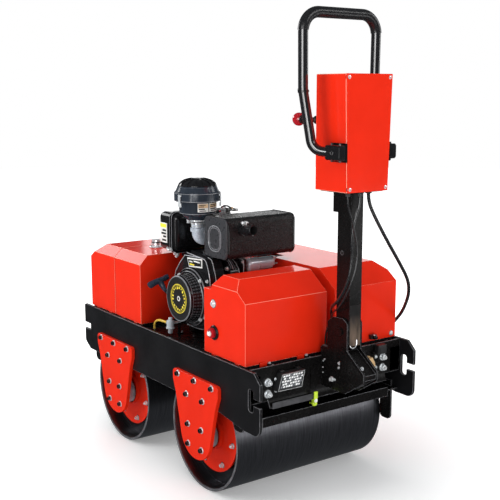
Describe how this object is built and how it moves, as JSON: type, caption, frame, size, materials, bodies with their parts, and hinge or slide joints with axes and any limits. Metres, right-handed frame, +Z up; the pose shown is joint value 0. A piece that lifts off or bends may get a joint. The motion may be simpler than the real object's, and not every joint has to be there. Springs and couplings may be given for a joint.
{
  "type": "walk-behind double-drum vibratory roller",
  "caption": "Walk-behind compaction roller with two steel drums, diesel engine, sheet-metal covers and an upright folding steering handle.",
  "frame": {"origin": "on the ground, under the middle of the machine's length and width", "axes": "+Z up, +Y the way it travels with the handle behind it, +X to the right of whoever stands at the handle"},
  "size_m": [0.724, 1.391, 1.656],
  "materials": {
    "red_paint": "glossy orange-red paint",
    "frame_black": "satin black paint",
    "drum_steel": "rolled steel painted black, lightly worn",
    "hub_black": "gloss black paint",
    "engine_black": "gloss black paint",
    "pump_iron": "black painted casting",
    "cleaner_plastic": "dark blue-grey moulded plastic",
    "handle_plastic": "dark blue-grey moulded plastic",
    "bare_aluminium": "cast aluminium",
    "starter_steel": "dull steel",
    "bright_chrome": "polished",
    "pin_steel": "zinc plated",
    "lamp_housing": "black housing with a clear lens",
    "switch_red": "red knob",
    "knob_red": "red ball knob on a black stem",
    "tap_green": "yellow-green lever",
    "hose_rubber": "matte black rubber",
    "cable_black": "black sheath",
    "fuel_hose_yellow": "yellow translucent hose"
  },
  "bodies": {
    "chassis": {"left_side_plate": "frame_black", "right_side_plate": "frame_black", "deck_plate": "frame_black", "front_cross_plate": "frame_black", "rear_cross_plate": "frame_black", "front_scraper": "frame_black", "rear_scraper": "frame_black", "front_left_drum_bracket": "red_paint", "front_right_drum_bracket": "red_paint", "rear_left_drum_bracket": "red_paint", "rear_right_drum_bracket": "red_paint", "front_left_hub_motor": "hub_black", "front_right_hub_motor": "hub_black", "rear_left_hub_motor": "hub_black", "rear_right_hub_motor": "hub_black", "front_cover": "red_paint", "water_tank": "red_paint", "water_cap": "bright_chrome", "rear_left_cover": "red_paint", "rear_right_cover": "red_paint", "engine_block": "engine_black", "fan_shroud": "engine_black", "recoil_starter": "engine_black", "pull_handle": "handle_plastic", "air_cleaner": "cleaner_plastic", "intake_elbow": "bare_aluminium", "fuel_tank": "engine_black", "tank_bracket": "engine_black", "muffler": "engine_black", "starter_motor": "starter_steel", "hydraulic_pump": "pump_iron", "fuel_filter": "bare_aluminium", "fuel_grommet": "hose_rubber", "fuel_hose": "fuel_hose_yellow", "work_light": "lamp_housing", "battery_switch": "switch_red", "water_tap": "tap_green", "handle_bracket": "frame_black", "handle_pivot_pin": "pin_steel", "hose_elbow": "pin_steel", "frame_gland": "hose_rubber", "drive_hose": "hose_rubber", "throttle_cable": "cable_black", "switch_loom": "cable_black"},
    "handle": {"handle_post": "frame_black", "control_box": "red_paint", "control_box_lid": "red_paint", "handle_loop": "frame_black", "loop_mounts": "frame_black", "control_lever": "knob_red", "box_glands": "hose_rubber"},
    "front_drum": {"front_drum": "drum_steel", "front_left_drive_disc": "red_paint", "front_right_drive_disc": "red_paint"},
    "rear_drum": {"rear_drum": "drum_steel", "rear_left_drive_disc": "red_paint", "rear_right_drive_disc": "red_paint"}
  },
  "joints": [
    {"name": "front_drum_roll", "type": "hinge", "parent": "chassis", "child": "front_drum", "pos_m": [0, 0.405, 0.21], "axis": [1, 0, 0], "continuous": true},
    {"name": "rear_drum_roll", "type": "hinge", "parent": "chassis", "child": "rear_drum", "pos_m": [0, -0.195, 0.21], "axis": [1, 0, 0], "continuous": true},
    {"name": "handle_fold", "type": "hinge", "parent": "chassis", "child": "handle", "pos_m": [0, -0.578, 0.612], "axis": [1, 0, 0], "range_deg": [0, 60], "deforming": ["drive_hose", "throttle_cable", "switch_loom"]}
  ]
}
